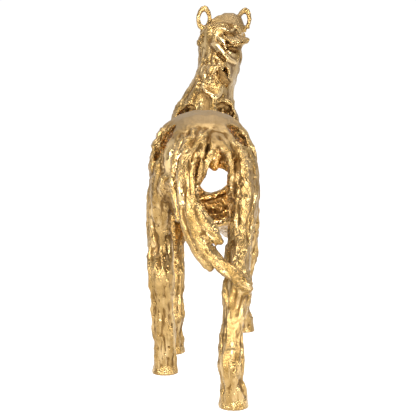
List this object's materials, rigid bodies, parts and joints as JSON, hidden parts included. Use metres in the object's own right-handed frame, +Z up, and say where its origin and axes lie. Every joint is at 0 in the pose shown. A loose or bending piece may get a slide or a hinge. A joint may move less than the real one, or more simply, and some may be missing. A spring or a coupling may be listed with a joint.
{
  "type": "horse sculpture",
  "caption": "Standing horse cast in one piece from bark-like strips: hollow trunk with openings, four separate legs, loop ears and a stranded tail that is fused to a hind hock.",
  "frame": {"origin": "middle of the horse's length and width, on the floor", "axes": "+Y the way the horse faces, +X to its right, +Z up"},
  "size_m": [0.1516, 0.5314, 0.5004],
  "materials": {
    "gilt": "gilded, bright on the ridges and brown-gold in the hollows"
  },
  "bodies": {
    "root": {"horse": "gilt"}
  },
  "joints": []
}
